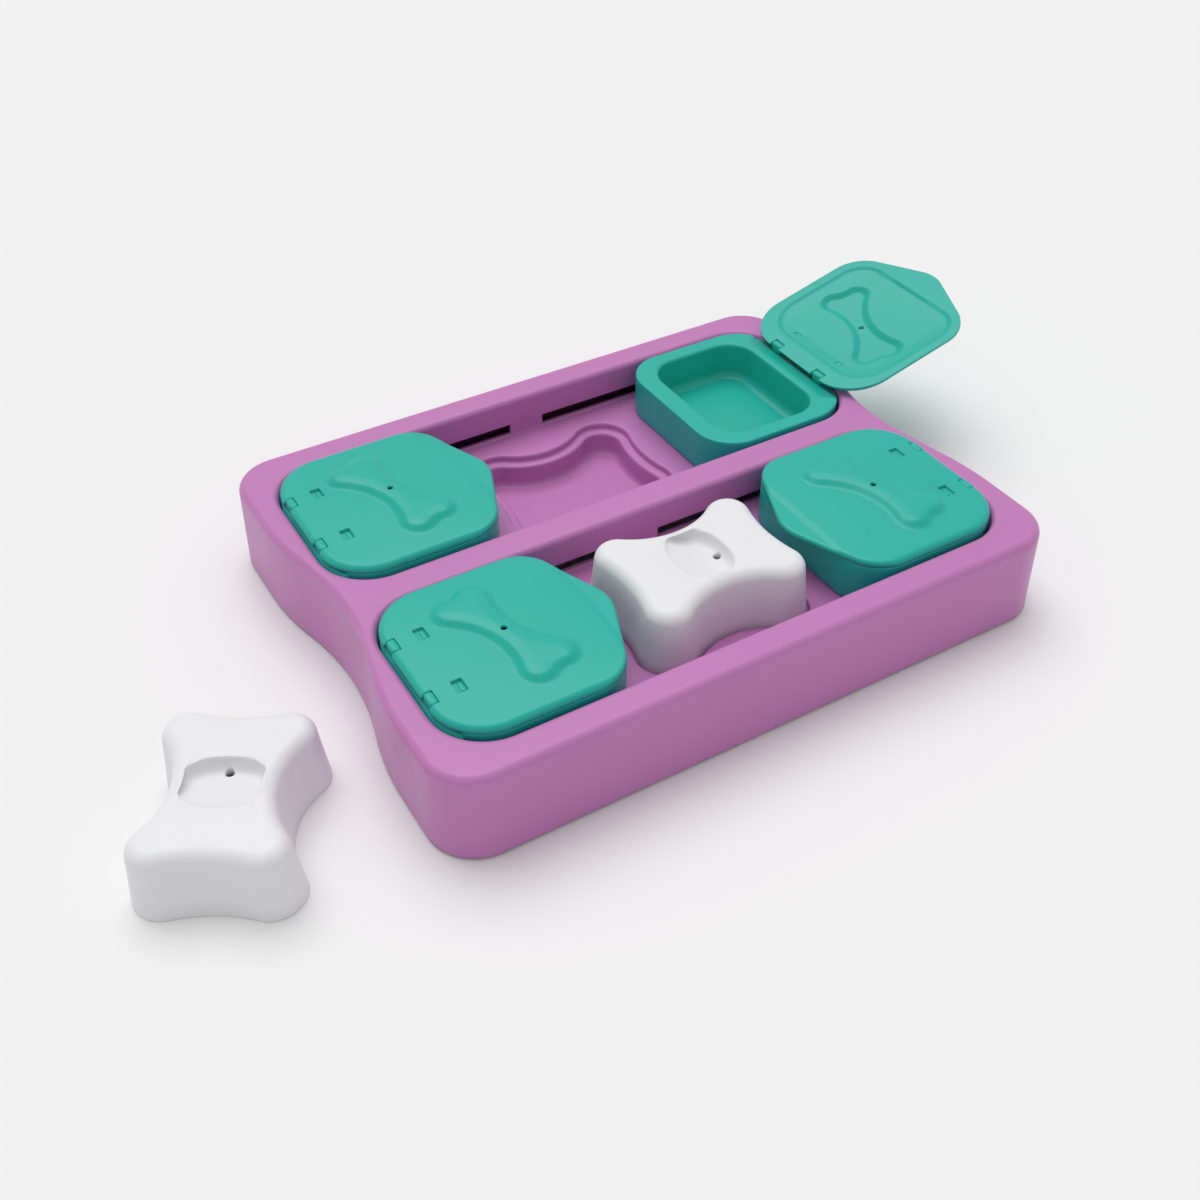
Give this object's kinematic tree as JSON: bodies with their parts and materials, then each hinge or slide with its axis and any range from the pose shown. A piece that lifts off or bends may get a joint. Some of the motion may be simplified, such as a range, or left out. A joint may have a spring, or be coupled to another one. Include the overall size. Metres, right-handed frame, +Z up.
{
  "type": "dog puzzle feeder",
  "caption": "Treat puzzle tray for dogs: sliding boxes with flip lids run in channels, and bone-shaped covers hide treat wells in the middle",
  "frame": {"origin": "on the surface the tray stands on, under the middle of the tray, at the face of its middle foot", "axes": "+X along the tray's channels towards the right-hand end, +Y from the front channel to the rear one, +Z up"},
  "size_m": [0.5314, 0.26, 0.0784],
  "materials": {
    "purple_plastic": "satin moulded polypropylene, orchid purple",
    "teal_plastic": "satin moulded polypropylene, teal",
    "white_plastic": "satin moulded polypropylene, white",
    "foot_rubber": "soft rubber",
    "pin_steel": "bright wire"
  },
  "bodies": {
    "tray": {"tray_shell": "purple_plastic", "rubber_foot_front_left": "foot_rubber", "rubber_foot_front_right": "foot_rubber", "rubber_foot_rear_left": "foot_rubber", "rubber_foot_rear_right": "foot_rubber", "rubber_foot_middle": "foot_rubber"},
    "slider_front_left": {"slider_box_front_left": "teal_plastic", "hinge_pins_front_left": "pin_steel"},
    "lid_front_left": {"flip_lid_front_left": "teal_plastic"},
    "slider_front_right": {"slider_box_front_right": "teal_plastic", "hinge_pins_front_right": "pin_steel"},
    "lid_front_right": {"flip_lid_front_right": "teal_plastic"},
    "slider_rear_left": {"slider_box_rear_left": "teal_plastic", "hinge_pins_rear_left": "pin_steel"},
    "lid_rear_left": {"flip_lid_rear_left": "teal_plastic"},
    "slider_rear_right": {"slider_box_rear_right": "teal_plastic", "hinge_pins_rear_right": "pin_steel"},
    "lid_rear_right": {"flip_lid_rear_right": "teal_plastic"},
    "cover_front": {"bone_cover_front": "white_plastic"},
    "cover_rear": {"bone_cover_rear": "white_plastic"}
  },
  "joints": [
    {"name": "front_left_slide", "type": "slide", "parent": "tray", "child": "slider_front_left", "axis": [1, 0, 0], "range_m": [0, 0.006]},
    {"name": "front_left_lid_hinge", "type": "hinge", "parent": "slider_front_left", "child": "lid_front_left", "pos_m": [-0.1489, -0.06035, 0.0512], "axis": [0, -1, 0], "range_deg": [0, 165]},
    {"name": "front_right_slide", "type": "slide", "parent": "tray", "child": "slider_front_right", "axis": [1, 0, 0], "range_m": [-0.006, 0]},
    {"name": "front_right_lid_hinge", "type": "hinge", "parent": "slider_front_right", "child": "lid_front_right", "pos_m": [0.1489, -0.06035, 0.0512], "axis": [0, 1, 0], "range_deg": [0, 165]},
    {"name": "rear_left_slide", "type": "slide", "parent": "tray", "child": "slider_rear_left", "axis": [1, 0, 0], "range_m": [0, 0.096]},
    {"name": "rear_left_lid_hinge", "type": "hinge", "parent": "slider_rear_left", "child": "lid_rear_left", "pos_m": [-0.1489, 0.06035, 0.0512], "axis": [0, -1, 0], "range_deg": [0, 165]},
    {"name": "rear_right_slide", "type": "slide", "parent": "tray", "child": "slider_rear_right", "axis": [1, 0, 0], "range_m": [-0.096, 0]},
    {"name": "rear_right_lid_hinge", "type": "hinge", "parent": "slider_rear_right", "child": "lid_rear_right", "pos_m": [0.1489, 0.06035, 0.0512], "axis": [0, 1, 0], "range_deg": [-165, 0]},
    {"name": "front_cover_lift", "type": "slide", "parent": "tray", "child": "cover_front", "axis": [0, 0, 1], "range_m": [0, 0.09]},
    {"name": "rear_cover_lift", "type": "slide", "parent": "tray", "child": "cover_rear", "axis": [0, 0, 1], "range_m": [0, 0.09]}
  ]
}
